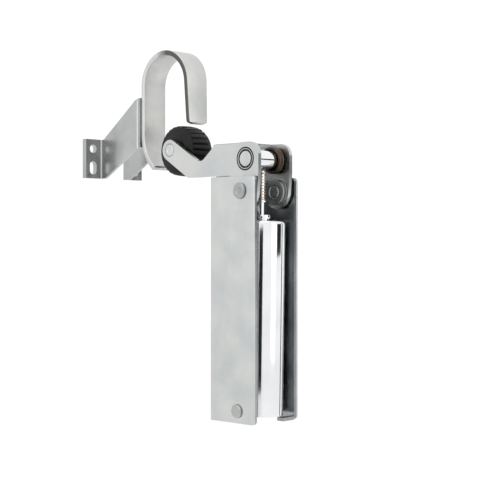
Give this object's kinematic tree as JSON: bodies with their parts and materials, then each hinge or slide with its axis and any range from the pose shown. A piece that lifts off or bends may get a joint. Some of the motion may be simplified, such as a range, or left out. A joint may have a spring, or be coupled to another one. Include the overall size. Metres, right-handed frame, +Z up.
{
  "type": "door closer",
  "caption": "Spring-action door closer: steel channel body with a damper, a cocked arm with a roller, and a hook strike on a footed bracket.",
  "frame": {"origin": "centre of the body's back face, where it is screwed to the door", "axes": "+Y into the door and wall, +X along the door, +Z up"},
  "size_m": [0.064, 0.2018, 0.2998],
  "materials": {
    "zinc_plate": "bright zinc plate, satin",
    "bright_steel": "polished",
    "spring_steel": "oiled dark steel",
    "light_spring": "coppery tinted wire",
    "roller_plastic": "moulded, satin",
    "seal_rubber": "matt"
  },
  "bodies": {
    "closer_body": {"body_channel": "zinc_plate", "side_plate_near": "zinc_plate", "side_plate_far": "zinc_plate", "pivot_rivet_near": "zinc_plate", "pivot_rivet_far": "zinc_plate", "pivot_washer_near": "bright_steel", "pivot_washer_far": "bright_steel", "trunnion_rivet_near": "zinc_plate", "trunnion_rivet_far": "zinc_plate"},
    "arm": {"arm_channel": "zinc_plate", "link_pin": "zinc_plate", "pin_bush_near": "zinc_plate", "pin_bush_far": "zinc_plate", "link_barrel": "bright_steel", "torsion_spring": "spring_steel", "roller_axle": "zinc_plate", "axle_washer_near": "bright_steel", "axle_washer_far": "bright_steel"},
    "roller": {"roller_tread": "roller_plastic", "roller_bush": "roller_plastic"},
    "damper": {"cylinder_tube": "bright_steel", "bottom_cap": "bright_steel", "gland_collar": "bright_steel", "rod_seal": "seal_rubber", "main_spring": "spring_steel"},
    "rod": {"piston_rod": "bright_steel", "piston": "bright_steel", "piston_ring": "seal_rubber", "rod_spring": "light_spring", "spring_retainer": "bright_steel"},
    "strike": {"hook_strap": "zinc_plate", "strike_bracket": "zinc_plate"}
  },
  "joints": [
    {"name": "arm_swing", "type": "hinge", "parent": "closer_body", "child": "arm", "pos_m": [0, -0.032, 0.084], "axis": [1, 0, 0], "range_deg": [0, 18]},
    {"name": "roller_spin", "type": "hinge", "parent": "arm", "child": "roller", "pos_m": [0, 0.0539, 0.1199], "axis": [1, 0, 0], "continuous": true},
    {"name": "damper_tilt", "type": "hinge", "parent": "closer_body", "child": "damper", "pos_m": [0, -0.029, -0.0858], "axis": [1, 0, 0], "range_deg": [-0.2, 2.5]},
    {"name": "rod_slide", "type": "slide", "parent": "damper", "child": "rod", "axis": [0, -0.0175, 0.9998], "range_m": [-0.0014, 0.0002], "deforming": ["main_spring"]},
    {"name": "strike_travel", "type": "slide", "parent": "closer_body", "child": "strike", "axis": [0, -1, 0], "range_m": [0, 0.034]}
  ],
  "couplings": [
    {"joint": "damper_tilt", "follows": "arm_swing", "ratio": 0.1265},
    {"joint": "rod_slide", "follows": "arm_swing", "m_per_rad": -0.0034},
    {"joint": "strike_travel", "follows": "arm_swing", "m_per_rad": 0.1045}
  ]
}
